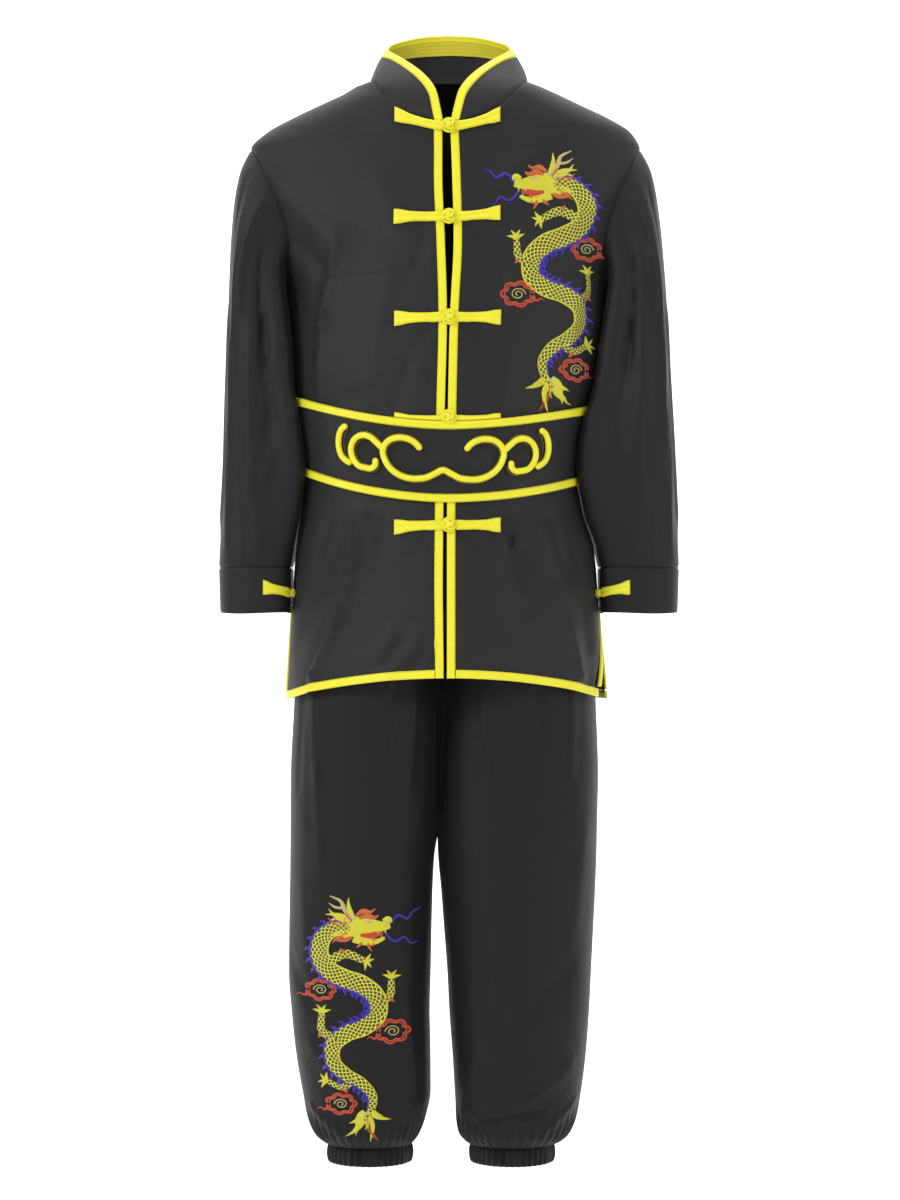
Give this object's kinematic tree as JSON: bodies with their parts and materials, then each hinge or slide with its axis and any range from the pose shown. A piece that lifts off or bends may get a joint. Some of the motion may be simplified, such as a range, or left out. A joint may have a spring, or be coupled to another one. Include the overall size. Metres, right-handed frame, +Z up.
{
  "type": "tai chi uniform",
  "caption": "Child's tai chi uniform as worn: stand-collar jacket with cord frogs and yellow binding, broad scroll belt, and loose trousers gathered into ankle cuffs.",
  "frame": {"origin": "centre of the neck opening's base, between the two points where the shoulder seams meet the collar; the wearer holds the garment there", "axes": "+Z up, +X to the wearer's left, the front facing -Y"},
  "size_m": [0.4596, 0.2364, 1.1335],
  "materials": {
    "jacket_cloth": "soft black twill",
    "sleeve_cloth": "soft black twill",
    "trouser_cloth": "soft black twill",
    "binding": "satin-weave yellow binding and cord",
    "facing": "plain yellow cloth"
  },
  "bodies": {
    "root": {"ankle_cuff_left": "trouser_cloth", "ankle_cuff_right": "trouser_cloth", "belt_band": "jacket_cloth", "belt_binding_bottom": "binding", "belt_binding_top": "binding", "collar": "jacket_cloth", "collar_binding": "binding", "collar_facing": "facing", "cuff_frog_knot_left": "binding", "cuff_frog_knot_right": "binding", "cuff_frog_tab_left": "binding", "cuff_frog_tab_right": "binding", "cuff_left": "sleeve_cloth", "cuff_right": "sleeve_cloth", "frog_1_knot": "binding", "frog_1_loop": "binding", "frog_1_tab": "binding", "frog_2_knot": "binding", "frog_2_loop": "binding", "frog_2_tab": "binding", "frog_3_knot": "binding", "frog_3_loop": "binding", "frog_3_tab": "binding", "frog_4_knot": "binding", "frog_4_loop": "binding", "frog_4_tab": "binding", "frog_5_knot": "binding", "frog_5_loop": "binding", "frog_5_tab": "binding", "front_binding_left": "binding", "front_binding_right": "binding", "hem_binding_back": "binding", "hem_binding_left": "binding", "hem_binding_right": "binding", "jacket_back": "jacket_cloth", "jacket_front_left": "jacket_cloth", "jacket_front_right": "jacket_cloth", "scroll_curl_left": "binding", "scroll_curl_right": "binding", "scroll_hook_left": "binding", "scroll_hook_right": "binding", "scroll_middle": "binding", "sleeve_left": "sleeve_cloth", "sleeve_right": "sleeve_cloth", "trouser_back_left": "trouser_cloth", "trouser_back_right": "trouser_cloth", "trouser_front_left": "trouser_cloth", "trouser_front_right": "trouser_cloth", "vent_binding_back_left": "binding", "vent_binding_back_right": "binding", "vent_binding_front_left": "binding", "vent_binding_front_right": "binding", "waistband": "trouser_cloth"}
  },
  "joints": []
}
